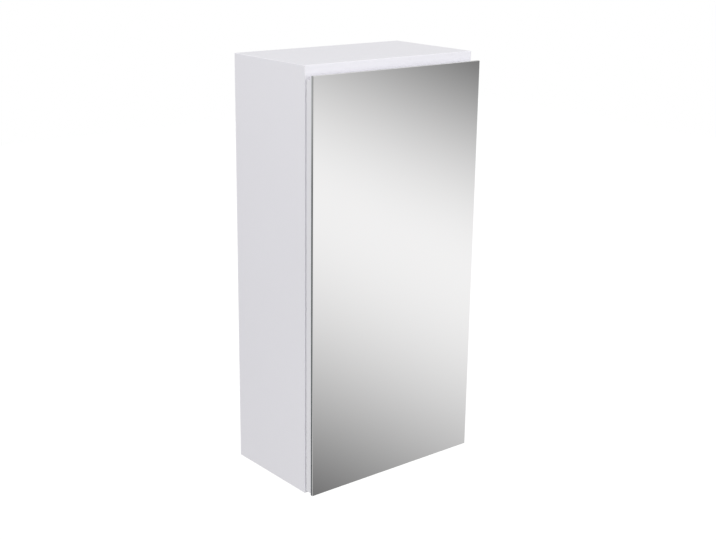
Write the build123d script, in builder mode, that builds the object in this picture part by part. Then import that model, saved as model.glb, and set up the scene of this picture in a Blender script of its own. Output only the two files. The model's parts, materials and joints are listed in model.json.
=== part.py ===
"""Wall-hung bathroom cabinet with one mirror door on two single-joint cup hinges.

Millimetres. X runs to the right, Z up, and the front faces -Y. The wall is the plane y = 0, and the
origin is midway between the two wall screws of the rail that the cabinet hangs on.
"""
from build123d import *
import os

os.makedirs("parts", exist_ok=True)

# Carcass
width = 300.0
height = 612.0
depth = 164.0
side_thick = 16.0
end_thick = 22.0
board_round = 1.0
hang_drop = 50.0
back_inset = 18.0
back_thick = 3.0
back_play = 0.1
groove_depth = 7.0
groove_spare = 0.5

# Shelves on pins, with spare rows of holes above and below
shelf_thick = 5.0
shelf_side_play = 1.0
shelf_back_play = 3.0
shelf_front_inset = 12.0
shelf_arris = 0.6
pin_radius = 2.5
pin_in_side = 8.0
pin_reach = 7.0
pin_flat = 2.2
pin_hole_depth = 10.0
pin_rows = 3
pin_pitch = 32.0
pin_from_front = 37.0
pin_from_back = 32.0

# Wall rail
rail_thick = 1.5
rail_end_play = 2.0
rail_drop = 20.0
rail_rise = 18.0
rail_joggle_low = 4.0
rail_joggle_high = 8.0
rail_offset = 4.5
rail_screw_spacing = 200.0
rail_screw_radius = 3.0

# Hangers, one in each upper back corner
hanger_width = 17.5
hanger_length = 60.0
hanger_height = 51.0
hanger_top_gap = 2.0
hanger_round = 2.5
hanger_plug_radius = 5.0
hanger_plug_length = 11.0
hanger_plug_spacing = 32.0
hanger_plug_drop = 34.0
hook_thick = 2.5
hook_width = 14.0
hook_tip = 8.5
hook_wall_gap = 1.0
hook_length = 62.0
hook_round = 2.0
hook_play = 0.2
hook_end_play = 1.0
hook_window = 1.5

# Door
door_gap = 1.5
slab_thick = 12.0
slab_side_inset = 1.0
slab_bottom_inset = 2.0
slab_lip_drop = 1.5
slab_bevel = 5.0
slab_round = 1.0
hinge_round = 2.5
mirror_thick = 4.0
mirror_top_drop = 12.0
mirror_bottom_rise = 2.0
mirror_arris = 0.5
tape_thick = 0.5
tape_width = 24.0
tape_strips = 4
tape_end_inset = 30.0
tape_side_inset = 24.0
bumper_radius = 4.0
bumper_height = 1.3
bumper_chamfer = 0.6
bumper_end_inset = 40.0

# Hinge: u runs from the right side's inner face into the cabinet, v forward from the carcass front
hinge_end_inset = 90.0
cup_tab = 3.0
cup_radius = 13.0
cup_depth = 10.2
cup_wall = 0.7
cup_floor = 0.5
cup_play = 0.05
flange_thick = 0.8
flange_reach = 24.0
flange_back = 5.0
flange_front = 13.5
flange_round = 4.5
pivot_to_floor = 1.6
pivot_to_wall = 2.05
pivot_radius = 0.8
pivot_play = 0.05
pivot_seat = 2.6
horn_half = 3.0
horn_side_play = 0.4
horn_eye = 1.4
horn_under = 1.2
horn_off_side = 0.6
horn_leg = 3.2
horn_foot = 3.0
horn_round = 0.8
arm_rear = 56.0
arm_front = 8.0
arm_block = 8.0
arm_lift = 2.6
arm_height = 7.8
arm_half = 5.8
arm_sheet = 1.2
arm_round = 1.0
plate_from_front = 37.0
plate_thick = 2.0
plate_wing = 46.0
plate_wing_width = 13.0
ridge_half = 4.4
ridge_front = 20.0
ridge_rear = 54.0
clamp_from_front = 46.0
adjuster_from_front = 27.0
arm_hole_radius = 2.3
arm_slot_length = 9.0

# Places that follow from the sizes
top = hang_drop
bottom = top - height
middle = (top + bottom) / 2
ceiling = top - end_thick
floor = bottom + end_thick
inner = width / 2 - side_thick
front = -depth
back_face = -back_inset - back_thick
mirror_top = top - mirror_top_drop
mirror_bottom = bottom + mirror_bottom_rise
slab_back = front - door_gap
slab_front = slab_back - slab_thick
slab_right = width / 2 - slab_side_inset
slab_bottom = mirror_bottom + slab_bottom_inset
slab_lip = mirror_top - slab_lip_drop
mirror_back = slab_front - tape_thick
shelf_space = (ceiling - floor - 2 * shelf_thick) / 3
shelves = {"upper": ceiling - shelf_space - shelf_thick, "lower": floor + shelf_space}
hinges = {"upper": mirror_top - hinge_end_inset, "lower": mirror_bottom + hinge_end_inset}
pin_columns = (front + pin_from_front, back_face - pin_from_back)
hanger_top = ceiling - hanger_top_gap
hanger_x = inner - hanger_width / 2
hanger_y = back_face - hanger_length / 2
hanger_front = back_face - hanger_length
arm_top = arm_lift + arm_height
ridge_top = arm_top - arm_sheet
cup_u = inner - slab_right + cup_tab + cup_radius
cup_outer = cup_radius - cup_play
cup_inner = cup_outer - cup_wall
pivot_u = cup_u - cup_inner + pivot_to_wall
pivot_v = door_gap + cup_depth - cup_floor - pivot_to_floor
cheek_edge = pivot_u - cup_u + pivot_to_floor
cheek_half = horn_half + horn_side_play
pivot_half = cheek_half + pivot_seat


def block(low, high, mode=Mode.ADD):
    """A box between two opposite corners."""
    with Locations(tuple((a + b) / 2 for a, b in zip(low, high))):
        Box(*(abs(b - a) for a, b in zip(low, high)), mode=mode)


def discs(plane, points, radius, length, mode=Mode.ADD):
    """Round bars or holes of one size, from a plane along its normal."""
    with BuildSketch(plane) as spots:
        with Locations(*points):
            Circle(radius)
    extrude(spots.sketch, amount=length, mode=mode)


def save(piece, label):
    """Name a finished piece and write it to its own file."""
    piece.part.label = label
    export_step(piece.part, f"parts/{label}.step")


def into_side(hand):
    """Inner face of a side, looking into the board: local x is hand times Y, local y is Z."""
    return Plane(origin=(hand * inner, 0, 0), x_dir=(0, hand, 0), z_dir=(hand, 0, 0))


def from_side(hand):
    """The same face, looking into the cabinet: local x is minus hand times Y, local y is Z."""
    return Plane(origin=(hand * inner, 0, 0), x_dir=(0, -hand, 0), z_dir=(-hand, 0, 0))


def hinge_plan(level):
    """Plan of a hinge: local x is u and local y is v."""
    return Plane(origin=(inner, front, level), x_dir=(-1, 0, 0), z_dir=(0, 0, 1))


def off_side(level, lift, way=1):
    """A plane at u = lift beside a hinge: local x is v, and its normal is u for a way of 1."""
    return Plane(origin=(inner - lift, front, level), x_dir=(0, -1, 0), z_dir=(-way, 0, 0))


def into_door(level, lift=0.0):
    """A plane off the slab's back, centred on a cup: local x is u, and its normal enters the slab."""
    origin = (inner - cup_u, slab_back + lift, level)
    return Plane(origin=origin, x_dir=(-1, 0, 0), z_dir=(0, -1, 0))


# Side boards, each with the back's groove, the shelf pin holes and the holes for its hanger's plugs
for side, hand in (("left", -1), ("right", 1)):
    with BuildPart() as board:
        with BuildSketch(Plane.XY.offset(bottom)) as plan:
            with Locations((hand * (inner + side_thick / 2), front / 2)):
                Rectangle(side_thick, depth)
            fillet(plan.vertices().group_by(Axis.Y)[0].sort_by(lambda v: hand * v.X)[-1], board_round)
        extrude(amount=height)
        ends = board.edges().filter_by(lambda e: abs(e.center().Z - middle) > height / 2 - board_round)
        outer_ends = ends.filter_by(lambda e: abs(e.center().X) > inner + board_round)
        fillet(outer_ends.filter_by(lambda e: e.center().Y < -board_round), board_round)
        block(
            (hand * inner, back_face - back_play, floor - groove_depth),
            (hand * (inner + groove_depth), -back_inset + back_play, ceiling + groove_depth),
            Mode.SUBTRACT,
        )
        face = into_side(hand)
        pin_holes = [
            (hand * y, level - pin_flat + (row - (pin_rows - 1) / 2) * pin_pitch)
            for level in shelves.values() for y in pin_columns for row in range(pin_rows)
        ]
        discs(face, pin_holes, pin_radius, pin_hole_depth, Mode.SUBTRACT)
        plugs = [
            (hand * (hanger_y + reach * hanger_plug_spacing / 2), hanger_top - hanger_plug_drop)
            for reach in (-1, 1)
        ]
        discs(face, plugs, hanger_plug_radius, hanger_plug_length, Mode.SUBTRACT)
    save(board, f"{side}_side")

# End boards between the sides
for end, face_z, way in (("top", ceiling, 1), ("bottom", floor, -1)):
    with BuildPart() as board:
        block((-inner, front, face_z), (inner, 0, face_z + way * end_thick))
        front_edges = board.edges().filter_by(Axis.X).group_by(Axis.Y)[0]
        fillet(front_edges.sort_by(lambda e: way * e.center().Z)[-1], board_round)
        block(
            (-inner, back_face - back_play, face_z),
            (inner, -back_inset + back_play, face_z + way * groove_depth),
            Mode.SUBTRACT,
        )
    save(board, f"{end}_board")

# Back panel in the grooves, with a window for each hanger's hook
with BuildPart() as back_panel:
    reach = groove_depth - groove_spare
    block((-inner - reach, back_face, floor - reach), (inner + reach, -back_inset, ceiling + reach))
    for hand in (-1, 1):
        half = hook_width / 2 + hook_window
        block(
            (hand * hanger_x - half, back_face, rail_rise - hook_tip - hook_window),
            (hand * hanger_x + half, -back_inset, rail_rise + hook_thick + hook_window),
            Mode.SUBTRACT,
        )
save(back_panel, "back_panel")

# Glass shelves, each on four pins whose tops are cut flat
for name, level in shelves.items():
    with BuildPart() as shelf:
        block(
            (-inner + shelf_side_play, front + shelf_front_inset, level),
            (inner - shelf_side_play, back_face - shelf_back_play, level + shelf_thick),
        )
        chamfer(shelf.edges(), shelf_arris)
    save(shelf, f"{name}_shelf")

    with BuildPart() as pins:
        for hand in (-1, 1):
            points = [(hand * y, level - pin_flat) for y in pin_columns]
            discs(into_side(hand), points, pin_radius, pin_in_side)
            discs(from_side(hand), [(-x, z) for x, z in points], pin_radius, pin_reach)
        block((-inner, front, level), (inner, 0, level + pin_radius), Mode.SUBTRACT)
    save(pins, f"{name}_shelf_pins")

# Wall rail: a flat strip on the wall with a lip that stands off it
with BuildPart() as wall_rail:
    with BuildSketch(Plane.YZ):
        with BuildLine():
            Polyline(
                (0, -rail_drop),
                (0, rail_joggle_low),
                (-rail_offset, rail_joggle_high),
                (-rail_offset, rail_rise),
                (-rail_offset - rail_thick, rail_rise),
                (-rail_offset - rail_thick, rail_joggle_high),
                (-rail_thick, rail_joggle_low),
                (-rail_thick, -rail_drop),
                close=True,
            )
        make_face()
    extrude(amount=inner - rail_end_play, both=True)
    wall = Plane(origin=(0, 0, 0), x_dir=(1, 0, 0), z_dir=(0, -1, 0))
    holes = [(hand * rail_screw_spacing / 2, 0) for hand in (-1, 1)]
    discs(wall, holes, rail_screw_radius, rail_thick, Mode.SUBTRACT)
save(wall_rail, "wall_rail")

# Hangers: a housing on plugs in the side, and a hook that slides in it and drops behind the rail's lip
for side, hand in (("left", -1), ("right", 1)):
    x = hand * hanger_x
    with BuildPart() as hanger:
        block(
            (hand * (inner - hanger_width), hanger_front, hanger_top - hanger_height),
            (hand * inner, back_face, hanger_top),
        )
        uprights = hanger.edges().filter_by(Axis.Z).group_by(Axis.Y)[0]
        fillet(uprights.sort_by(lambda e: hand * e.center().X)[0], hanger_round)
        plugs = [
            (hand * (hanger_y + reach * hanger_plug_spacing / 2), hanger_top - hanger_plug_drop)
            for reach in (-1, 1)
        ]
        discs(into_side(hand), plugs, hanger_plug_radius, hanger_plug_length)
        half = hook_width / 2 + hook_play
        block(
            (x - half, -hook_wall_gap - hook_length - hook_end_play, rail_rise),
            (x + half, back_face, rail_rise + hook_thick + hook_play),
            Mode.SUBTRACT,
        )
    save(hanger, f"{side}_hanger")

    with BuildPart() as hook:
        with BuildSketch(Plane.YZ.offset(x)) as section:
            with BuildLine():
                Polyline(
                    (-hook_wall_gap, rail_rise - hook_tip),
                    (-hook_wall_gap, rail_rise + hook_thick),
                    (-hook_wall_gap - hook_length, rail_rise + hook_thick),
                    (-hook_wall_gap - hook_length, rail_rise),
                    (-hook_wall_gap - hook_thick, rail_rise),
                    (-hook_wall_gap - hook_thick, rail_rise - hook_tip),
                    close=True,
                )
            make_face()
            fillet(section.vertices().group_by(Axis.X)[-1].sort_by(Axis.Y)[-1], hook_round)
        extrude(amount=hook_width / 2, both=True)
    save(hook, f"{side}_hook")

# Door slab, with a bevel behind the mirror's top edge and a well-rounded back edge at the hinges
with BuildPart() as door_panel:
    with BuildSketch(Plane.YZ):
        with BuildLine():
            Polyline(
                (slab_back, slab_bottom),
                (slab_front, slab_bottom),
                (slab_front, slab_lip),
                (slab_front + slab_bevel, slab_lip - slab_bevel),
                (slab_back, slab_lip - slab_bevel),
                close=True,
            )
        make_face()
    extrude(amount=slab_right, both=True)
    back_uprights = door_panel.edges().filter_by(Axis.Z).group_by(Axis.Y)[-1]
    fillet(back_uprights.sort_by(Axis.X)[-1], hinge_round)
    fillet(door_panel.faces().sort_by(Axis.X)[0].edges().sort_by(Axis.Y)[-1], slab_round)
    fillet(door_panel.edges().filter_by(Axis.X).group_by(Axis.Z)[0], slab_round)
    for level in hinges.values():
        discs(into_door(level), [(0, 0)], cup_radius, cup_depth, Mode.SUBTRACT)
save(door_panel, "door_panel")

with BuildPart() as mirror_glass:
    block((-width / 2, mirror_back, mirror_bottom), (width / 2, mirror_back - mirror_thick, mirror_top))
    chamfer(mirror_glass.edges(), mirror_arris)
save(mirror_glass, "mirror_glass")

# Strips of mounting tape between the slab and the glass
with BuildPart() as mirror_tape:
    tape_length = mirror_top - mirror_bottom - 2 * tape_end_inset
    tape_pitch = (width - 2 * tape_side_inset - tape_width) / (tape_strips - 1)
    with Locations((0, slab_front - tape_thick / 2, (mirror_top + mirror_bottom) / 2)):
        with GridLocations(tape_pitch, 1, tape_strips, 1):
            Box(tape_width, tape_thick, tape_length)
save(mirror_tape, "mirror_tape")

# Bumpers on the door's back, which meet the front edge of the left side
with BuildPart() as door_bumpers:
    back = Plane(origin=(0, slab_back, 0), x_dir=(-1, 0, 0), z_dir=(0, 1, 0))
    points = [
        (width / 2 - side_thick / 2, z)
        for z in (mirror_top - bumper_end_inset, mirror_bottom + bumper_end_inset)
    ]
    discs(back, points, bumper_radius, bumper_height)
    chamfer(door_bumpers.edges().group_by(Axis.Y)[-1], bumper_chamfer)
save(door_bumpers, "door_bumpers")

# Hinges: a cup in the door, a pin across it, and a horned arm on a plate on the right side
for name, level in hinges.items():
    with BuildPart() as plate:
        with BuildSketch(off_side(level, 0)):
            with Locations((-plate_from_front, 0)):
                SlotOverall(plate_wing, plate_wing_width, rotation=90)
        extrude(amount=plate_thick)
        with BuildSketch(off_side(level, 0)):
            with Locations(((-ridge_front - ridge_rear) / 2, 0)):
                Rectangle(ridge_rear - ridge_front, 2 * ridge_half)
        extrude(amount=ridge_top)
    save(plate, f"{name}_hinge_plate")

    with BuildPart() as hinge_arm:
        with BuildSketch(hinge_plan(level)):
            with BuildLine():
                FilletPolyline(
                    (pivot_u, pivot_v - horn_under),
                    (horn_off_side, pivot_v - horn_under),
                    (horn_off_side, -horn_foot),
                    (arm_lift, -arm_front),
                    (arm_lift, -arm_front - arm_block),
                    (arm_top - arm_round, -arm_front - arm_block),
                    (arm_top - arm_round, -arm_front),
                    (horn_off_side + horn_leg, -horn_foot),
                    (horn_off_side + horn_leg, pivot_v + horn_eye),
                    (pivot_u, pivot_v + horn_eye),
                    radius=horn_round,
                    close=True,
                )
            make_face()
            with Locations((pivot_u, pivot_v)):
                Circle(horn_eye)
                Circle(pivot_radius + pivot_play, mode=Mode.SUBTRACT)
        extrude(amount=horn_half, both=True)
        with BuildSketch(Plane(origin=(inner, front + arm_front, level), x_dir=(-1, 0, 0),
                               z_dir=(0, 1, 0))) as channel:
            with Locations((arm_lift + arm_height / 2, 0)):
                Rectangle(arm_height, 2 * arm_half)
            fillet(channel.vertices().group_by(Axis.X)[0], arm_round)
            with Locations((arm_lift + (arm_height - arm_sheet) / 2, 0)):
                Rectangle(arm_height - arm_sheet, 2 * (arm_half - arm_sheet), mode=Mode.SUBTRACT)
        extrude(amount=arm_rear - arm_front)
        with BuildSketch(hinge_plan(level)):
            with Locations((arm_lift + (arm_height - arm_sheet) / 2, -arm_front - arm_block / 2)):
                Rectangle(arm_height - arm_sheet, arm_block)
        extrude(amount=arm_half - arm_sheet, both=True)
        with BuildSketch(off_side(level, arm_top, -1)):
            with Locations((-clamp_from_front, 0)):
                SlotOverall(arm_slot_length, 2 * arm_hole_radius)
            with Locations((-adjuster_from_front, 0)):
                Circle(arm_hole_radius)
        extrude(amount=arm_sheet, mode=Mode.SUBTRACT)
    save(hinge_arm, f"{name}_hinge_arm")

    with BuildPart() as cup:
        discs(into_door(level), [(0, 0)], cup_outer, cup_depth)
        with BuildSketch(into_door(level, flange_thick)):
            with Locations(((flange_front - flange_back) / 2, 0)):
                RectangleRounded(flange_front + flange_back, 2 * flange_reach, flange_round)
        extrude(amount=flange_thick)
        with BuildSketch(into_door(level, flange_thick)):
            Circle(cup_inner)
            for rise in (-1, 1):
                cheek_middle = (cheek_edge - cup_radius / 2, rise * (cheek_half + cup_radius / 2))
                with Locations(cheek_middle):
                    Rectangle(cup_radius, cup_radius, mode=Mode.SUBTRACT)
        extrude(amount=flange_thick + cup_depth - cup_floor, mode=Mode.SUBTRACT)
        with BuildSketch(hinge_plan(level)):
            with Locations((pivot_u, pivot_v)):
                Circle(pivot_radius)
        extrude(amount=pivot_half, both=True, mode=Mode.SUBTRACT)
    save(cup, f"{name}_hinge_cup")

    with BuildPart() as hinge_pin:
        with BuildSketch(hinge_plan(level)):
            with Locations((pivot_u, pivot_v)):
                Circle(pivot_radius)
        extrude(amount=pivot_half, both=True)
    save(hinge_pin, f"{name}_hinge_pin")

print(f"door pivot: x {inner - pivot_u:.3f}, y {front - pivot_v:.3f}")
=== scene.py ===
"""Looks of the wall-hung mirror cabinet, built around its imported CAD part.

The script is laid out as an add-on. Metres, in the part's own frame: X to the right, Z up, the wall at
y = 0, and the mirror facing -Y. Angles in the settings are radians, shown as degrees.
"""
import json
import math
from collections import namedtuple
from functools import wraps

import bmesh
import bpy
from bpy.props import FloatProperty, FloatVectorProperty, PointerProperty
from mathutils import Matrix, Vector


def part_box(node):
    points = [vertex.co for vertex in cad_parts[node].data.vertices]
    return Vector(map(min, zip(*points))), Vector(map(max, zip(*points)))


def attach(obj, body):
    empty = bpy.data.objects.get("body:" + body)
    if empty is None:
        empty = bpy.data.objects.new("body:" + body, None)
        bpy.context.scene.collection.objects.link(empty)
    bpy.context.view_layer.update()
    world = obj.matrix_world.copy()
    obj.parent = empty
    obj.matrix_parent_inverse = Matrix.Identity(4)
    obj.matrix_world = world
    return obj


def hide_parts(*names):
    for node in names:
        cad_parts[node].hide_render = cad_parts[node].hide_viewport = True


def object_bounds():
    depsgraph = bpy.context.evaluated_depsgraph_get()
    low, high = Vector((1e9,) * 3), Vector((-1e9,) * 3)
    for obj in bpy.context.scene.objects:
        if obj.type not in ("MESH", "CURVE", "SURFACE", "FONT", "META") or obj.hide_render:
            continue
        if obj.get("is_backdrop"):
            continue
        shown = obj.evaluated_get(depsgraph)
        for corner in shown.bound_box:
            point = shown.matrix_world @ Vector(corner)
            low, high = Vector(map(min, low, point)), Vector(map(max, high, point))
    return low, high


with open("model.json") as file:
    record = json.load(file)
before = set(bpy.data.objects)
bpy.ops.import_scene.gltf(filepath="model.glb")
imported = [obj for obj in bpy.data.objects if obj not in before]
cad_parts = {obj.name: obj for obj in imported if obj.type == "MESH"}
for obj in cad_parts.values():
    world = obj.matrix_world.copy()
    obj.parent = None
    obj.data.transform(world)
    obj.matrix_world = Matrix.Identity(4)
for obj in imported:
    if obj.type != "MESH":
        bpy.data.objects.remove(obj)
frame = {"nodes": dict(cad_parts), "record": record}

bl_info = {
    "name": "Mirror cabinet looks",
    "version": (1, 0, 0),
    "blender": (4, 5, 0),
    "location": "3D View > Sidebar > Cabinet",
    "description": "Finishes, small fasteners and a plain studio for a wall-hung mirror cabinet",
    "category": "Object",
}

PICTURE_WIDTH = 716

DOOR = "door"
CABINET = "cabinet"
HINGES = ("upper", "lower")
HANGERS = ("left", "right")

TO_LEFT = (-1, 0, 0)
TO_FRONT = (0, -1, 0)
TO_BACK = (0, 1, 0)
UP = (0, 0, 1)
DOWN = (0, 0, -1)

# The door has the boards' finish in its record, and shows a little darker in the photograph: its darker copy
# of that lacquer is painted shade
OWN_FINISH = {"door_panel": "door_lacquer"}

# The mirror's finishes, in their order on its plate. A face is silvered where its normal points forward by
# more than the first share, which takes in the front bevel, painted where it points back by more than the
# second, and polished otherwise
SILVERED, POLISHED, PAINTED = range(3)
FACES_FRONT = 0.5
FACES_BACK = 0.999

# Painted light on the mirror's polished edge: it grows lighter from the first depth below its top to the
# second, up to a share
EDGE_PAINTED_LIGHT_DEPTHS = (0.17, 0.02)
EDGE_PAINTED_LIGHT_SHARE = 0.6

# Each ring of a head or cap is a share of its radius and a share of its height
RING_POINTS = 32
HEAD_RINGS = ((1.0, 0.0), (1.0, 0.4), (0.93, 0.78), (0.74, 1.0))
CAP_RINGS = ((1.0, 0.0), (1.0, 0.6), (0.94, 1.0), (0.3, 1.0), (0.22, 0.55))
SHARP_ANGLE = math.radians(35)

# Each ring of a head's cross is how far its arms reach and half their width, as shares of the head's radius,
# and its height as a share of the head's
CROSS_RINGS = ((0.56, 0.12, 1.0), (0.4, 0.08, 0.45))
CROSS_ARMS = 4

# Where a noise's values mostly lie, and a narrower range that brings out its middle
NOISE_MOST = (0.3, 0.7)
NOISE_MIDDLE = (0.35, 0.65)

# A mix node's two colours and its mixed colour, counted among its sockets
MIX_COLOURS = slice(6, 8)
MIXED_COLOUR = 2

FLOAT = "NodeSocketFloat"
VECTOR = "NodeSocketVector"
COLOR = "NodeSocketColor"
WHITE = (1.0, 1.0, 1.0, 1.0)


def length(label, text, value):
    """A length that a user may change."""
    return FloatProperty(name=label, description=text, default=value, min=0.0, unit="LENGTH")


def colour(label, text, value):
    """A colour that a user may change."""
    return FloatVectorProperty(
        name=label, description=text, default=value, size=3, min=0.0, max=1.0, subtype="COLOR"
    )


def level(label, text, value):
    """A plain amount that a user may change."""
    return FloatProperty(name=label, description=text, default=value, min=0.0)


def angle(label, text, value):
    """An angle that a user may change, given here in degrees."""
    return FloatProperty(name=label, description=text, default=math.radians(value), subtype="ANGLE")


def position(label, text, value):
    """A place that a user may change."""
    return FloatVectorProperty(name=label, description=text, default=value, size=3, subtype="TRANSLATION")


class CabinetSizes(bpy.types.PropertyGroup):
    """Sizes of the pieces that are built here."""

    mirror_arris: length("Mirror arris", "Width of the polished bevel round the glass", 0.0004)
    arm_screw: length("Arm screw", "Radius of the screw heads on a hinge's arm", 0.0032)
    arm_screw_height: length("Arm screw height", "Height of those heads", 0.0016)
    arm_screw_first: length("Front arm screw", "From the cabinet's front edge to it", 0.027)
    arm_screw_second: length("Rear arm screw", "From the cabinet's front edge to it", 0.046)
    plate_wing: length("Plate wing", "Thickness of a hinge plate's wings", 0.002)
    plate_screw: length("Plate screw", "Radius of the screw heads on a hinge's plate", 0.004)
    plate_screw_height: length("Plate screw height", "Height of those heads", 0.0013)
    plate_screw_spacing: length("Plate screw spacing", "Between a plate's two screws", 0.032)
    cup_screw: length("Cup screw", "Radius of the screw heads on a hinge's cup", 0.0029)
    cup_screw_height: length("Cup screw height", "Height of those heads", 0.0009)
    cup_screw_spacing: length("Cup screw spacing", "Between a cup's two screws", 0.038)
    cup_screw_inset: length("Cup screw inset", "From the flange's inner edge to them", 0.008)
    hanger_screw: length("Hanger screw", "Radius of the adjusting screws' heads", 0.0039)
    hanger_screw_height: length("Hanger screw height", "Height of those heads", 0.0009)
    hanger_screw_drop: length("Hanger screw drop", "From a hanger's top to its upper screw", 0.014)
    hanger_screw_spacing: length("Hanger screw spacing", "Between a hanger's screws", 0.018)
    cap_radius: length("Cap radius", "Radius of the caps over the cam fittings", 0.0085)
    cap_height: length("Cap height", "How far those caps stand off the boards", 0.001)
    cap_from_side: length("Cap from side", "From a side's inner face to its caps", 0.034)
    cap_from_front: length("Cap from front", "From the cabinet's front edge to the front caps", 0.037)
    cap_from_wall: length("Cap from wall", "From the wall to the rear caps", 0.045)
    shelf_rim: length("Shelf rim", "How far the green of a shelf's edges reaches in", 0.0025)


class CabinetColours(bpy.types.PropertyGroup):
    """Colours of the finishes, in linear light."""

    lacquer: colour("Lacquer", "Satin lacquer on the boards", (0.850, 0.842, 0.886))
    # A darker copy of the boards' lacquer, which is painted shade on the door
    door_lacquer: colour("Door lacquer", "Satin lacquer on the door", (0.818, 0.812, 0.846))
    hardboard: colour("Hardboard", "Facing of the back panel", (0.80, 0.80, 0.80))
    silver: colour("Silver", "What the mirror gives back", (0.905, 0.90, 0.90))
    glass: colour("Glass", "Body colour of the clear glass", (0.965, 0.99, 0.98))
    glass_rim: colour("Glass rim", "Colour near the edges of the clear glass", (0.56, 0.82, 0.73))
    glass_edge: colour("Glass edge", "Colour seen into the mirror's edge", (0.115, 0.125, 0.130))
    backing: colour("Mirror backing", "Paint over the silver", (0.24, 0.28, 0.29))
    plastic: colour("Plastic", "Hangers and cover caps", (0.78, 0.78, 0.77))
    bumper: colour("Bumper", "Soft bumpers on the door", (0.80, 0.80, 0.78))
    foam: colour("Foam", "Mounting tape behind the mirror", (0.70, 0.70, 0.69))
    nickel: colour("Nickel", "Hinges and shelf pins", (0.66, 0.63, 0.59))
    zinc: colour("Zinc", "Wall rail and hooks", (0.58, 0.60, 0.63))
    floor: colour("Floor", "Studio floor", (0.50, 0.50, 0.50))


class CabinetStudio(bpy.types.PropertyGroup):
    """Light, floor and camera of the plain studio."""

    sky: level("Sky", "Even light from all round", 0.995)
    side_power: level("Side lamp", "Watts of the soft lamp at the front left", 2.1)
    side_place: position("Side lamp place", "Where that lamp hangs", (-1.2, -0.8, 0.35))
    front_power: level("Front lamp", "Watts of the soft lamp in front", 10.0)
    front_place: position("Front lamp place", "Where that lamp hangs", (0.5, -2.5, 0.3))
    lamp_size: length("Lamp size", "Side of each square lamp", 0.9)
    floor_drop: length("Floor drop", "From the cabinet's bottom to the floor", 0.9)
    floor_reach: length("Floor reach", "Side of the square floor", 14.0)
    floor_lift: level("Floor lift", "White added to the floor as the camera sees it", 0.55)
    band_peak: level("Band peak", "Brightest level that the mirror sees", 0.97)
    band_dark: level("Band dark", "Darkest level that the mirror sees", 0.11)
    band_soft: level("Band softness", "How softly the band runs into the dark", 0.15)
    band_down: angle("Band below", "From the brightest line down to the dark", 17.6)
    band_up: angle("Band above", "From the brightest line up to the dark", 12.9)
    band_slope: level("Band slope", "How far the brightest line falls to the right", 0.45)
    band_offset: level("Band offset", "How far that line lies above the camera's axis", 0.0420)
    far_level: level("Far level", "Level that the mirror sees well away from the band", 0.85)
    far_start: level("Far start", "Half bands from the brightest line to where that begins", 0.8)
    far_full: level("Far full", "Half bands from the brightest line to where that is full", 3.4)
    camera_place: position("Camera place", "Where the camera stands", (-1.1159, -1.4596, 0.2530))
    camera_yaw: angle("Camera yaw", "Turn from looking straight at the wall", 39.275)
    camera_pitch: angle("Camera pitch", "How far it looks down", 16.531)
    camera_roll: angle("Camera roll", "Tilt round its own axis", -0.738)
    focal_pixels: level("Focal length", "In pixels of the picture", 1237.1)


def feed(tree, socket, value):
    """Join an output to an input, or set the input to a plain value."""
    if isinstance(value, bpy.types.NodeSocket):
        tree.links.new(value, socket)
    else:
        socket.default_value = value


def add(tree, kind, inputs=None, **settings):
    """Add a node, set it up and feed its inputs."""
    node = tree.nodes.new(kind)
    for name, value in settings.items():
        setattr(node, name, value)
    for name, value in (inputs or {}).items():
        feed(tree, node.inputs[name], value)
    return node


def calculate(tree, operation, *values):
    """A math node's result."""
    return add(tree, "ShaderNodeMath", dict(enumerate(values)), operation=operation).outputs["Value"]


def calculate_vector(tree, operation, *values):
    """A vector math node's vector."""
    inputs = dict(enumerate(values))
    return add(tree, "ShaderNodeVectorMath", inputs, operation=operation).outputs["Vector"]


def mix_colours(tree, factor, first, second):
    """One colour turning into another."""
    node = add(tree, "ShaderNodeMix", {"Factor": factor}, data_type="RGBA")
    for socket, value in zip(node.inputs[MIX_COLOURS], (first, second)):
        feed(tree, socket, value)
    return node.outputs[MIXED_COLOUR]


def mix_levels(tree, factor, first, second):
    """One level turning into another."""
    return add(tree, "ShaderNodeMix", {"Factor": factor, "A": first, "B": second}).outputs["Result"]


def spread(tree, value, source, target, smooth=False):
    """A value carried from one range to another and held at its ends."""
    kind = "SMOOTHSTEP" if smooth else "LINEAR"
    inputs = {"Value": value, "From Min": source[0], "From Max": source[1],
              "To Min": target[0], "To Max": target[1]}
    return add(tree, "ShaderNodeMapRange", inputs, interpolation_type=kind).outputs["Result"]


def noise(tree, vector, scale, **inputs):
    """A noise's values."""
    return add(tree, "ShaderNodeTexNoise", {"Vector": vector, "Scale": scale, **inputs}).outputs["Fac"]


def cells(tree, vector, scale):
    """The outputs of a pattern of cells."""
    return add(tree, "ShaderNodeTexVoronoi", {"Vector": vector, "Scale": scale}, feature="F1").outputs


def raised(tree, heights, distance):
    """A normal that follows heights from nought to one, where one stands up by a distance."""
    inputs = {"Strength": 1.0, "Distance": distance, "Height": heights}
    return add(tree, "ShaderNodeBump", inputs).outputs["Normal"]


def shade(rgb, factor=1.0):
    """A linear colour with its alpha, lighter or darker by a factor."""
    return (*(min(1.0, part * factor) for part in rgb), 1.0)


def shared(build):
    """Build a node group once, under its function's name, and give the same group from then on."""
    name = build.__name__.replace("_", " ").capitalize()

    @wraps(build)
    def given():
        return bpy.data.node_groups.get(name) or build(name)

    return given


def start_group(name, inputs, outputs):
    """An empty node group with its sockets, what comes into it and what goes out."""
    group = bpy.data.node_groups.new(name, "ShaderNodeTree")
    for way, sockets in (("INPUT", inputs), ("OUTPUT", outputs)):
        for label, kind in sockets.items():
            group.interface.new_socket(name=label, in_out=way, socket_type=kind)
    return group, add(group, "NodeGroupInput").outputs, add(group, "NodeGroupOutput").inputs


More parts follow.
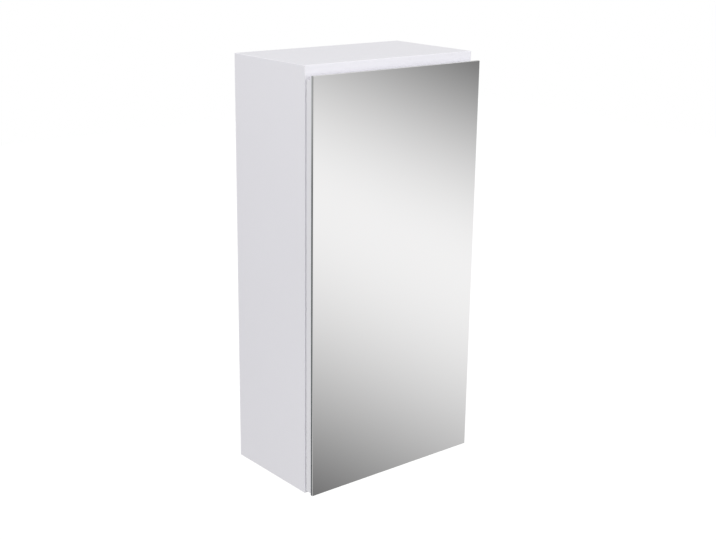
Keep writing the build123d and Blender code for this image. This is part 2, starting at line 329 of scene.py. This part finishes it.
@shared
def fine_relief(name):
    """Group: a soft uneven surface, as roughness between two values and a normal."""
    group, given, out = start_group(
        name,
        {"Vector": VECTOR, "Scale": FLOAT, "Height": FLOAT, "Smoothest": FLOAT, "Roughest": FLOAT},
        {"Roughness": FLOAT, "Normal": VECTOR},
    )
    ripple = noise(group, given["Vector"], given["Scale"], Detail=4.0, Roughness=0.55)
    rough = spread(group, ripple, NOISE_MOST, (given["Smoothest"], given["Roughest"]))
    feed(group, out["Roughness"], rough)
    feed(group, out["Normal"], raised(group, ripple, given["Height"]))
    return group


@shared
def tone_drift(name):
    """Group: a colour that drifts slowly to another."""
    group, given, out = start_group(
        name, {"Vector": VECTOR, "Scale": FLOAT, "Light": COLOR, "Dark": COLOR}, {"Color": COLOR}
    )
    drift = noise(group, given["Vector"], given["Scale"], Detail=2.0)
    mask = spread(group, drift, NOISE_MIDDLE, (0.0, 1.0), smooth=True)
    feed(group, out["Color"], mix_colours(group, mask, given["Light"], given["Dark"]))
    return group


@shared
def drawn_grain(name):
    """Group: fine lines left by rolling or brushing, stretched one way, with a cloudier tone over them."""
    group, given, out = start_group(
        name,
        {"Vector": VECTOR, "Stretch": VECTOR, "Smoothest": FLOAT, "Roughest": FLOAT, "Height": FLOAT},
        {"Grain": FLOAT, "Roughness": FLOAT, "Normal": VECTOR},
    )
    line_share, cloud_share, cloud_scale = 0.6, 0.4, 90.0
    stretched = calculate_vector(group, "MULTIPLY", given["Vector"], given["Stretch"])
    lines = noise(group, stretched, 1.0, Detail=5.0)
    cloud = noise(group, given["Vector"], cloud_scale, Detail=2.0)
    grain = calculate(group, "MULTIPLY_ADD", cloud, cloud_share,
                      calculate(group, "MULTIPLY", lines, line_share))
    rough = spread(group, grain, NOISE_MIDDLE, (given["Smoothest"], given["Roughest"]))
    feed(group, out["Grain"], grain)
    feed(group, out["Roughness"], rough)
    feed(group, out["Normal"], raised(group, lines, given["Height"]))
    return group


@shared
def edge_band(name):
    """Group: a mask that is one at the upright faces of a box, and fades within a narrow band."""
    group, given, out = start_group(
        name, {"Vector": VECTOR, "Centre": VECTOR, "Half": VECTOR, "Band": FLOAT}, {"Mask": FLOAT}
    )
    apart = calculate_vector(group, "SUBTRACT", given["Vector"], given["Centre"])
    inside = calculate_vector(group, "SUBTRACT", given["Half"], calculate_vector(group, "ABSOLUTE", apart))
    parts = add(group, "ShaderNodeSeparateXYZ", {"Vector": inside}).outputs
    nearest = calculate(group, "MINIMUM", parts["X"], parts["Y"])
    feed(group, out["Mask"], spread(group, nearest, (0.0, given["Band"]), (1.0, 0.0), smooth=True))
    return group


@shared
def cell_specks(name):
    """Group: a mask of specks in the middles of small cells, full up to one radius and gone by another."""
    group, given, out = start_group(
        name,
        {"Vector": VECTOR, "Scale": FLOAT, "Full": FLOAT, "Gone": FLOAT, "Share": FLOAT},
        {"Mask": FLOAT},
    )
    radius = cells(group, given["Vector"], given["Scale"])["Distance"]
    feed(group, out["Mask"], spread(group, radius, (given["Full"], given["Gone"]), (given["Share"], 0.0)))
    return group


def grouped(tree, group, **inputs):
    """Place a node group, feed its inputs and give its outputs."""
    return add(tree, "ShaderNodeGroup", inputs, node_tree=group, label=group.name).outputs


def empty_tree(owner):
    """The cleared node tree of a material or world."""
    owner.use_nodes = True
    owner.node_tree.nodes.clear()
    return owner.node_tree


def drifting(tree, place, rgb, darkest, scale):
    """A colour that drifts down to a share of itself."""
    return grouped(tree, tone_drift(), Vector=place, Scale=scale, Light=shade(rgb),
                   Dark=shade(rgb, darkest))["Color"]


# What a finish is made with: its tree, its main shader and the object's coordinates
Work = namedtuple("Work", ("tree", "shader", "place"))


def dress(work, **values):
    """Feed the main shader's inputs, named with underscores for spaces."""
    for name, value in values.items():
        feed(work.tree, work.shader.inputs[name.replace("_", " ")], value)


def roughen(work, scale, height, rough):
    """Give the surface a fine relief of a height, and a roughness between two values."""
    relief = grouped(work.tree, fine_relief(), Vector=work.place, Scale=scale, Height=height,
                     Smoothest=rough[0], Roughest=rough[1])
    dress(work, Roughness=relief["Roughness"], Normal=relief["Normal"])


def coated(work, rgb, darkest, drift, grain, height, rough):
    """A painted or moulded surface: a drifting tone over a fine relief. Gives the tone."""
    tone = drifting(work.tree, work.place, rgb, darkest, drift)
    roughen(work, grain, height, rough)
    dress(work, Base_Color=tone)
    return tone


def speckle(work, tone, speck, scale, full, gone, share):
    """Lay specks over the tone, each full up to one radius and gone by another."""
    mask = grouped(work.tree, cell_specks(), Vector=work.place, Scale=scale, Full=full, Gone=gone,
                   Share=share)["Mask"]
    dress(work, Base_Color=mix_colours(work.tree, mask, tone, speck))


def satin(work, rgb):
    """Satin lacquer with the faint orange peel of a sprayed board."""
    coated(work, rgb, darkest=0.992, drift=5.0, grain=420.0, height=0.00002, rough=(0.36, 0.46))
    dress(work, Coat_Weight=0.2, Coat_Roughness=0.25)


def white_lacquer(work, colours):
    """Lacquer of the boards."""
    satin(work, colours.lacquer)


def door_lacquer(work, colours):
    """The same lacquer on the door slab, made darker as painted shade."""
    satin(work, colours.door_lacquer)


def white_hardboard(work, colours):
    """Paper-faced hardboard, whose fibres show a little."""
    tone = coated(work, colours.hardboard, darkest=0.988, drift=14.0, grain=700.0, height=0.00004,
                  rough=(0.55, 0.7))
    speckle(work, tone, shade(colours.hardboard, 0.9), scale=260.0, full=0.0, gone=0.35, share=0.25)


def white_plastic(work, colours):
    """Moulded plastic with a fine spark-eroded grain."""
    coated(work, colours.plastic, darkest=0.97, drift=30.0, grain=2200.0, height=0.00003, rough=(0.4, 0.55))


def mirror_backing(work, colours):
    """Paint rolled over the silver."""
    coated(work, colours.backing, darkest=0.9, drift=8.0, grain=900.0, height=0.00002, rough=(0.35, 0.5))


def soft_bumper(work, colours):
    """Clear, slightly cloudy bumper."""
    coated(work, colours.bumper, darkest=0.92, drift=300.0, grain=1500.0, height=0.00001, rough=(0.2, 0.35))
    dress(work, Transmission_Weight=0.6, IOR=1.48)


def foam_tape(work, colours):
    """Foam with open cells along its cut edges."""
    tone = coated(work, colours.foam, darkest=0.93, drift=60.0, grain=3000.0, height=0.00002,
                  rough=(0.8, 0.95))
    speckle(work, tone, shade(colours.foam, 0.6), scale=1800.0, full=0.1, gone=0.5, share=0.35)


def silvered_glass(work, colours):
    """The mirror's silver seen through its glass, smooth but for the slightest drift of tone."""
    coated(work, colours.silver, darkest=0.99, drift=3.0, grain=6.0, height=0.0000004, rough=(0.0, 0.012))
    dress(work, Metallic=1.0)


def glass_edge(work, colours):
    """The polished edge of the mirror's glass: dark, with painted light that makes it lighter near its top.
    """
    tone = coated(work, colours.glass_edge, darkest=0.85, drift=40.0, grain=500.0, height=0.000004,
                  rough=(0.05, 0.14))
    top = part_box("mirror_glass")[1].z
    # Painted light: near its top the edge is mixed towards a pale glass colour
    height = add(work.tree, "ShaderNodeSeparateXYZ", {"Vector": work.place}).outputs["Z"]
    lighter = spread(work.tree, height, [top - depth for depth in EDGE_PAINTED_LIGHT_DEPTHS],
                     (0.0, EDGE_PAINTED_LIGHT_SHARE), smooth=True)
    dress(work, Base_Color=mix_colours(work.tree, lighter, tone, shade(colours.glass, 0.6)))


def clear_glass(work, colours):
    """Float glass for the shelves, which are alike, green where the light runs out of their edges."""
    low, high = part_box("upper_shelf")
    rim = grouped(work.tree, edge_band(), Vector=work.place, Centre=(low + high) / 2, Half=(high - low) / 2,
                  Band=bpy.context.scene.cabinet_sizes.shelf_rim)["Mask"]
    roughen(work, scale=14.0, height=0.0000005, rough=(0.0, 0.03))
    dress(work, Base_Color=mix_colours(work.tree, rim, shade(colours.glass), shade(colours.glass_rim)))
    dress(work, Transmission_Weight=1.0, IOR=1.52)


def plated(work, rgb, stretch, rough):
    """Plated steel with a drawn grain. Gives its tone."""
    grain = grouped(work.tree, drawn_grain(), Vector=work.place, Stretch=stretch, Smoothest=rough[0],
                    Roughest=rough[1], Height=0.000012)
    tone = mix_colours(work.tree, grain["Grain"], shade(rgb, 1.08), shade(rgb, 0.86))
    dress(work, Base_Color=tone, Roughness=grain["Roughness"], Normal=grain["Normal"], Metallic=1.0)
    return tone


def nickel_steel(work, colours):
    """Bright nickel over pressed steel."""
    plated(work, colours.nickel, stretch=(900.0, 250.0, 4000.0), rough=(0.16, 0.32))


def zinc_steel(work, colours):
    """Zinc over rolled steel, with a faint spangle."""
    spangle_share = 0.35
    tone = plated(work, colours.zinc, stretch=(150.0, 2500.0, 2500.0), rough=(0.28, 0.45))
    spangle = cells(work.tree, work.place, scale=140.0)["Color"]
    patch = add(work.tree, "ShaderNodeSeparateColor", {"Color": spangle}).outputs["Red"]
    faint = calculate(work.tree, "MULTIPLY", patch, spangle_share)
    dress(work, Base_Color=mix_colours(work.tree, faint, tone, shade(colours.zinc, 0.75)))


FINISHES = {
    make.__name__: make
    for make in (white_lacquer, door_lacquer, white_hardboard, white_plastic, mirror_backing, soft_bumper,
                 foam_tape, silvered_glass, glass_edge, clear_glass, nickel_steel, zinc_steel)
}


def finish(name):
    """A finish by its record name, built on its first use. Its own name has spaces."""
    spaced = name.replace("_", " ")
    if spaced not in bpy.data.materials:
        tree = empty_tree(bpy.data.materials.new(spaced))
        shader = add(tree, "ShaderNodeBsdfPrincipled")
        add(tree, "ShaderNodeOutputMaterial", {"Surface": shader.outputs["BSDF"]})
        place = add(tree, "ShaderNodeTexCoord").outputs["Object"]
        FINISHES[name](Work(tree, shader, place), bpy.context.scene.cabinet_colours)
    return bpy.data.materials[spaced]


def add_object(name, data):
    """A new object at the origin, in the scene."""
    thing = bpy.data.objects.new(name, data)
    bpy.context.scene.collection.objects.link(thing)
    return thing


def close_mesh(name, bm):
    """A mesh from a bmesh, which is freed."""
    mesh = bpy.data.meshes.new(name)
    bm.to_mesh(mesh)
    bm.free()
    if not mesh.polygons:
        raise RuntimeError(f"{name} came out empty")
    return mesh


def make_piece(name, bm, body, slot, others=(), smooth=True):
    """Turn a bmesh into a piece that rides on a CAD body. Its slot's finish comes first, then any others."""
    bmesh.ops.recalc_face_normals(bm, faces=bm.faces)
    mesh = close_mesh(name, bm)
    if smooth:
        mesh.shade_smooth()
        mesh.set_sharp_from_angle(angle=SHARP_ANGLE)
    for used in (slot, *others):
        mesh.materials.append(finish(used))
    piece = add_object(name, mesh)
    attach(piece, body)
    return piece


def edges_of(verts):
    """The edges that join a loop of vertices."""
    loop = set(verts)
    return [edge for edge in {e for v in verts for e in v.link_edges} if loop.issuperset(edge.verts)]


def turned(bm, place, out, radius, height, rings):
    """Joined rings that stand on a face and face out. Gives their matrix and the last ring's edges."""
    stand = Matrix.Translation(place) @ Vector(out).to_track_quat("Z", "Y").to_matrix().to_4x4()
    loops = []
    for across, up in rings:
        made = bmesh.ops.create_circle(
            bm, segments=RING_POINTS, radius=radius * across,
            matrix=stand @ Matrix.Translation((0, 0, height * up)),
        )
        loops.append(edges_of(made["verts"]))
    bmesh.ops.edgeloop_fill(bm, edges=loops[0])
    for lower, upper in zip(loops, loops[1:]):
        bmesh.ops.bridge_loops(bm, edges=lower + upper)
    return stand, loops[-1]


def add_head(bm, place, out, radius, height):
    """A pan head with a cross recess."""
    stand, rim = turned(bm, place, out, radius, height, HEAD_RINGS)
    crosses = []
    for reach, half, up in CROSS_RINGS:
        corners = [(reach, -half), (reach, half), (half, half)]
        verts = []
        for arm in range(CROSS_ARMS):
            turn = Matrix.Rotation(arm * math.tau / CROSS_ARMS, 4, "Z")
            for x, y in corners:
                flat = turn @ Vector((x * radius, y * radius, 0.0))
                verts.append(bm.verts.new(stand @ (flat + Vector((0, 0, height * up)))))
        crosses.append([bm.edges.new(pair) for pair in zip(verts, verts[1:] + verts[:1])])
    bmesh.ops.triangle_fill(bm, edges=rim + crosses[0], use_beauty=True, normal=Vector(out))
    bmesh.ops.bridge_loops(bm, edges=crosses[0] + crosses[1])
    bmesh.ops.edgeloop_fill(bm, edges=crosses[1])


def add_cap(bm, place, out, radius, height):
    """A flat cover cap with a dimple in its middle."""
    _, rim = turned(bm, place, out, radius, height, CAP_RINGS)
    bmesh.ops.edgeloop_fill(bm, edges=rim)


def make_heads(name, body, slot, places, out, radius, height):
    """A piece of like screw heads, which all face out."""
    bm = bmesh.new()
    for place in places:
        add_head(bm, place, out, radius, height)
    make_piece(name, bm, body, slot)


def pair(middle, spacing):
    """Two places at a spacing, round a middle."""
    return middle - spacing / 2, middle + spacing / 2


class CABINET_OT_finishes(bpy.types.Operator):
    """Give each CAD node the finish that its record names"""

    bl_idname = "cabinet.finishes"
    bl_label = "Finish the CAD nodes"

    def execute(self, context):
        for part in frame["record"]["subparts"]:
            mesh = frame["nodes"][part["node"]].data
            mesh.materials.clear()
            mesh.materials.append(finish(OWN_FINISH.get(part["node"], part["material_slot"])))
        for plain in [material for material in bpy.data.materials if not material.users]:
            bpy.data.materials.remove(plain)
        return {"FINISHED"}


class CABINET_OT_mirror_plate(bpy.types.Operator):
    """Build the mirror: silvered in front, with polished glass edges and a painted back"""

    bl_idname = "cabinet.mirror_plate"
    bl_label = "Mirror plate"

    def execute(self, context):
        low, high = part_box("mirror_glass")
        bm = bmesh.new()
        spans = Matrix.Diagonal((*(high - low), 1.0))
        bmesh.ops.create_cube(bm, size=1.0, matrix=Matrix.Translation((low + high) / 2) @ spans)
        bmesh.ops.bevel(
            bm, geom=bm.edges[:], offset=context.scene.cabinet_sizes.mirror_arris, offset_type="OFFSET",
            segments=1, profile=0.5, affect="EDGES", material=-1,
        )
        bm.normal_update()
        for face in bm.faces:
            if face.normal.y < -FACES_FRONT:
                face.material_index = SILVERED
            elif face.normal.y > FACES_BACK:
                face.material_index = PAINTED
            else:
                face.material_index = POLISHED
        piece = make_piece("mirror_plate", bm, DOOR, "silvered_glass", ("glass_edge", "mirror_backing"),
                           smooth=False)
        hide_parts("mirror_glass")
        return {"FINISHED"}


class CABINET_OT_hinge_screws(bpy.types.Operator):
    """Build the screw heads on both hinges: on the arm, on the plate and on the cup"""

    bl_idname = "cabinet.hinge_screws"
    bl_label = "Hinge screws"

    def execute(self, context):
        sizes = context.scene.cabinet_sizes
        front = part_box("right_side")[0].y
        for hinge in HINGES:
            arm_low, arm_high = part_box(f"{hinge}_hinge_arm")
            plate_low, plate_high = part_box(f"{hinge}_hinge_plate")
            cup_low, cup_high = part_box(f"{hinge}_hinge_cup")
            middle = (arm_low.z + arm_high.z) / 2
            backs = (sizes.arm_screw_first, sizes.arm_screw_second)
            places = [(arm_low.x, front + back, middle) for back in backs]
            make_heads(f"{hinge}_arm_screws", CABINET, "nickel_steel", places, TO_LEFT, sizes.arm_screw,
                       sizes.arm_screw_height)
            wing = plate_high.x - sizes.plate_wing
            across = (plate_low.y + plate_high.y) / 2
            places = [(wing, across, z) for z in pair(middle, sizes.plate_screw_spacing)]
            make_heads(f"{hinge}_plate_screws", CABINET, "nickel_steel", places, TO_LEFT, sizes.plate_screw,
                       sizes.plate_screw_height)
            tab = cup_low.x + sizes.cup_screw_inset
            places = [(tab, cup_high.y, z) for z in pair(middle, sizes.cup_screw_spacing)]
            make_heads(f"{hinge}_cup_screws", DOOR, "nickel_steel", places, TO_BACK, sizes.cup_screw,
                       sizes.cup_screw_height)
        return {"FINISHED"}


class CABINET_OT_hanger_screws(bpy.types.Operator):
    """Build the heads of the hangers' adjusting screws"""

    bl_idname = "cabinet.hanger_screws"
    bl_label = "Hanger screws"

    def execute(self, context):
        sizes = context.scene.cabinet_sizes
        places = []
        for side in HANGERS:
            hook_low, hook_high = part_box(f"{side}_hook")
            low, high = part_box(f"{side}_hanger")
            first = high.z - sizes.hanger_screw_drop
            for z in (first, first - sizes.hanger_screw_spacing):
                places.append(((hook_low.x + hook_high.x) / 2, low.y, z))
        make_heads("hanger_screws", CABINET, "zinc_steel", places, TO_FRONT, sizes.hanger_screw,
                   sizes.hanger_screw_height)
        return {"FINISHED"}


class CABINET_OT_cam_caps(bpy.types.Operator):
    """Build the cover caps over the fittings that join the boards"""

    bl_idname = "cabinet.cam_caps"
    bl_label = "Cover caps"

    def execute(self, context):
        sizes = context.scene.cabinet_sizes
        bm = bmesh.new()
        low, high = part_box("top_board")
        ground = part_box("bottom_board")[1].z
        for x in (low.x + sizes.cap_from_side, high.x - sizes.cap_from_side):
            for y in (low.y + sizes.cap_from_front, -sizes.cap_from_wall):
                add_cap(bm, (x, y, low.z), DOWN, sizes.cap_radius, sizes.cap_height)
                add_cap(bm, (x, y, ground), UP, sizes.cap_radius, sizes.cap_height)
        make_piece("cam_caps", bm, CABINET, "white_plastic")
        return {"FINISHED"}


def camera_axes(studio):
    """Right, down and forward as the camera has them."""
    yaw, pitch, roll = studio.camera_yaw, studio.camera_pitch, studio.camera_roll
    forward = Vector((math.sin(yaw) * math.cos(pitch), math.cos(yaw) * math.cos(pitch), -math.sin(pitch)))
    level_right = Vector((math.cos(yaw), -math.sin(yaw), 0.0))
    level_down = forward.cross(level_right)
    right = math.cos(roll) * level_right + math.sin(roll) * level_down
    down = math.cos(roll) * level_down - math.sin(roll) * level_right
    return right, down, forward


def build_camera(studio):
    """The photograph's view."""
    camera = add_object("camera", bpy.data.cameras.new("camera"))
    camera.data.sensor_fit = "HORIZONTAL"
    camera.data.lens = camera.data.sensor_width * studio.focal_pixels / PICTURE_WIDTH
    right, down, forward = camera_axes(studio)
    camera.rotation_mode = "QUATERNION"
    camera.rotation_quaternion = Matrix((right, -down, -forward)).transposed().to_quaternion()
    camera.location = studio.camera_place
    bpy.context.scene.camera = camera


def mirror_light(tree, studio):
    """What mirrors see: a soft bright band that falls to the right, dark beside it and light far away."""
    right, down, forward = camera_axes(studio)
    across = (down - studio.band_slope * right + studio.band_offset * forward).normalized()
    # The closed door's mirror turns back and front round
    across.y = -across.y
    direction = add(tree, "ShaderNodeTexCoord").outputs["Generated"]
    sine = add(tree, "ShaderNodeVectorMath", {0: direction, 1: across}, operation="DOT_PRODUCT")
    below = calculate(tree, "ARCSINE", sine.outputs["Value"])
    is_below = calculate(tree, "GREATER_THAN", below, 0.0)
    half = calculate(tree, "MULTIPLY_ADD", is_below, studio.band_down - studio.band_up, studio.band_up)
    share = calculate(tree, "DIVIDE", calculate(tree, "ABSOLUTE", below), half)
    quarter = calculate(tree, "MULTIPLY", calculate(tree, "MINIMUM", share, 1.0), math.pi / 2)
    bell = calculate(tree, "POWER", calculate(tree, "COSINE", quarter), 2.0)
    bright = calculate(tree, "MULTIPLY", bell, studio.band_peak)
    band = calculate(tree, "SMOOTH_MAX", bright, studio.band_dark, studio.band_soft)
    far = spread(tree, share, (studio.far_start, studio.far_full), (0.0, studio.far_level), smooth=True)
    return calculate(tree, "SMOOTH_MAX", band, far, studio.band_soft)


def build_world(studio):
    """White to the camera, even light on the object, and a band of light for what mirrors."""
    world = bpy.data.worlds.new("studio")
    tree = empty_tree(world)
    path = add(tree, "ShaderNodeLightPath").outputs
    lit = mix_levels(tree, path["Is Glossy Ray"], studio.sky, mirror_light(tree, studio))
    seen = calculate(tree, "MAXIMUM", path["Is Camera Ray"], path["Is Transmission Ray"])
    light = add(tree, "ShaderNodeBackground", {"Color": WHITE, "Strength": mix_levels(tree, seen, lit, 1.0)})
    add(tree, "ShaderNodeOutputWorld", {"Surface": light.outputs["Background"]})
    bpy.context.scene.world = world


def floor_material(studio, rgb):
    """Matt and pale, near white to the camera, and clear to mirrors."""
    material = bpy.data.materials.new("studio floor")
    tree = empty_tree(material)
    place = add(tree, "ShaderNodeTexCoord").outputs["Object"]
    tone = drifting(tree, place, rgb, darkest=0.99, scale=2.0)
    path = add(tree, "ShaderNodeLightPath").outputs
    seen = calculate(tree, "MAXIMUM", path["Is Camera Ray"], path["Is Transmission Ray"])
    matt = add(tree, "ShaderNodeBsdfDiffuse", {"Color": tone}).outputs["BSDF"]
    lift = add(tree, "ShaderNodeEmission",
               {"Strength": calculate(tree, "MULTIPLY", seen, studio.floor_lift)}).outputs["Emission"]
    lifted = add(tree, "ShaderNodeAddShader", {0: matt, 1: lift}).outputs["Shader"]
    clear = add(tree, "ShaderNodeBsdfTransparent").outputs["BSDF"]
    mixed = add(tree, "ShaderNodeMixShader", {0: path["Is Glossy Ray"], 1: lifted, 2: clear})
    add(tree, "ShaderNodeOutputMaterial", {"Surface": mixed.outputs["Shader"]})
    return material


def build_floor(studio, rgb):
    """A floor well below the cabinet, which shows its shadow."""
    bm = bmesh.new()
    drop = Matrix.Translation((0, 0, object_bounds()[0].z - studio.floor_drop))
    bmesh.ops.create_grid(bm, x_segments=1, y_segments=1, size=studio.floor_reach / 2, matrix=drop)
    mesh = close_mesh("floor", bm)
    mesh.materials.append(floor_material(studio, rgb))
    floor = add_object("floor", mesh)
    floor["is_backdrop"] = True


def build_lamp(name, place, size, power):
    """A square soft lamp that faces the cabinet's middle and that mirrors don't show."""
    data = bpy.data.lights.new(name, "AREA")
    data.shape = "SQUARE"
    data.size = size
    data.energy = power
    lamp = add_object(name, data)
    lamp.location = place
    lamp.rotation_mode = "QUATERNION"
    low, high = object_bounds()
    lamp.rotation_quaternion = ((low + high) / 2 - lamp.location).to_track_quat("-Z", "Y")
    lamp.visible_glossy = False


class CABINET_OT_stage(bpy.types.Operator):
    """Build the floor, the light and the photograph's camera"""

    bl_idname = "cabinet.stage"
    bl_label = "Studio"

    def execute(self, context):
        studio = context.scene.cabinet_studio
        build_world(studio)
        build_floor(studio, context.scene.cabinet_colours.floor)
        build_lamp("side_lamp", studio.side_place, studio.lamp_size, studio.side_power)
        build_lamp("front_lamp", studio.front_place, studio.lamp_size, studio.front_power)
        build_camera(studio)
        context.scene.view_settings.view_transform = "Standard"
        return {"FINISHED"}


GROUPS = {"cabinet_sizes": CabinetSizes, "cabinet_colours": CabinetColours, "cabinet_studio": CabinetStudio}
OPERATORS = (
    CABINET_OT_finishes,
    CABINET_OT_mirror_plate,
    CABINET_OT_hinge_screws,
    CABINET_OT_hanger_screws,
    CABINET_OT_cam_caps,
    CABINET_OT_stage,
)


class CABINET_PT_looks(bpy.types.Panel):
    """The cabinet's settings and pieces in the sidebar"""

    bl_label = "Mirror cabinet"
    bl_idname = "CABINET_PT_looks"
    bl_space_type = "VIEW_3D"
    bl_region_type = "UI"
    bl_category = "Cabinet"

    def draw(self, context):
        for title, kind in GROUPS.items():
            box = self.layout.box()
            box.label(text=title.removeprefix("cabinet_").capitalize())
            for name in kind.__annotations__:
                box.prop(getattr(context.scene, title), name)
        for operator in OPERATORS:
            self.layout.operator(operator.bl_idname)


def register():
    """Make the settings, operators and panel known."""
    for name, group in GROUPS.items():
        bpy.utils.register_class(group)
        setattr(bpy.types.Scene, name, PointerProperty(type=group))
    for kind in (*OPERATORS, CABINET_PT_looks):
        bpy.utils.register_class(kind)


def unregister():
    """Take them away again."""
    for kind in reversed((*OPERATORS, CABINET_PT_looks)):
        bpy.utils.unregister_class(kind)
    for name, group in GROUPS.items():
        delattr(bpy.types.Scene, name)
        bpy.utils.unregister_class(group)


def main():
    """Build everything in order."""
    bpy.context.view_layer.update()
    register()
    bpy.ops.cabinet.finishes()
    bpy.ops.cabinet.mirror_plate()
    bpy.ops.cabinet.hinge_screws()
    bpy.ops.cabinet.hanger_screws()
    bpy.ops.cabinet.cam_caps()
    bpy.ops.cabinet.stage()


if __name__ == "__main__":
    main()
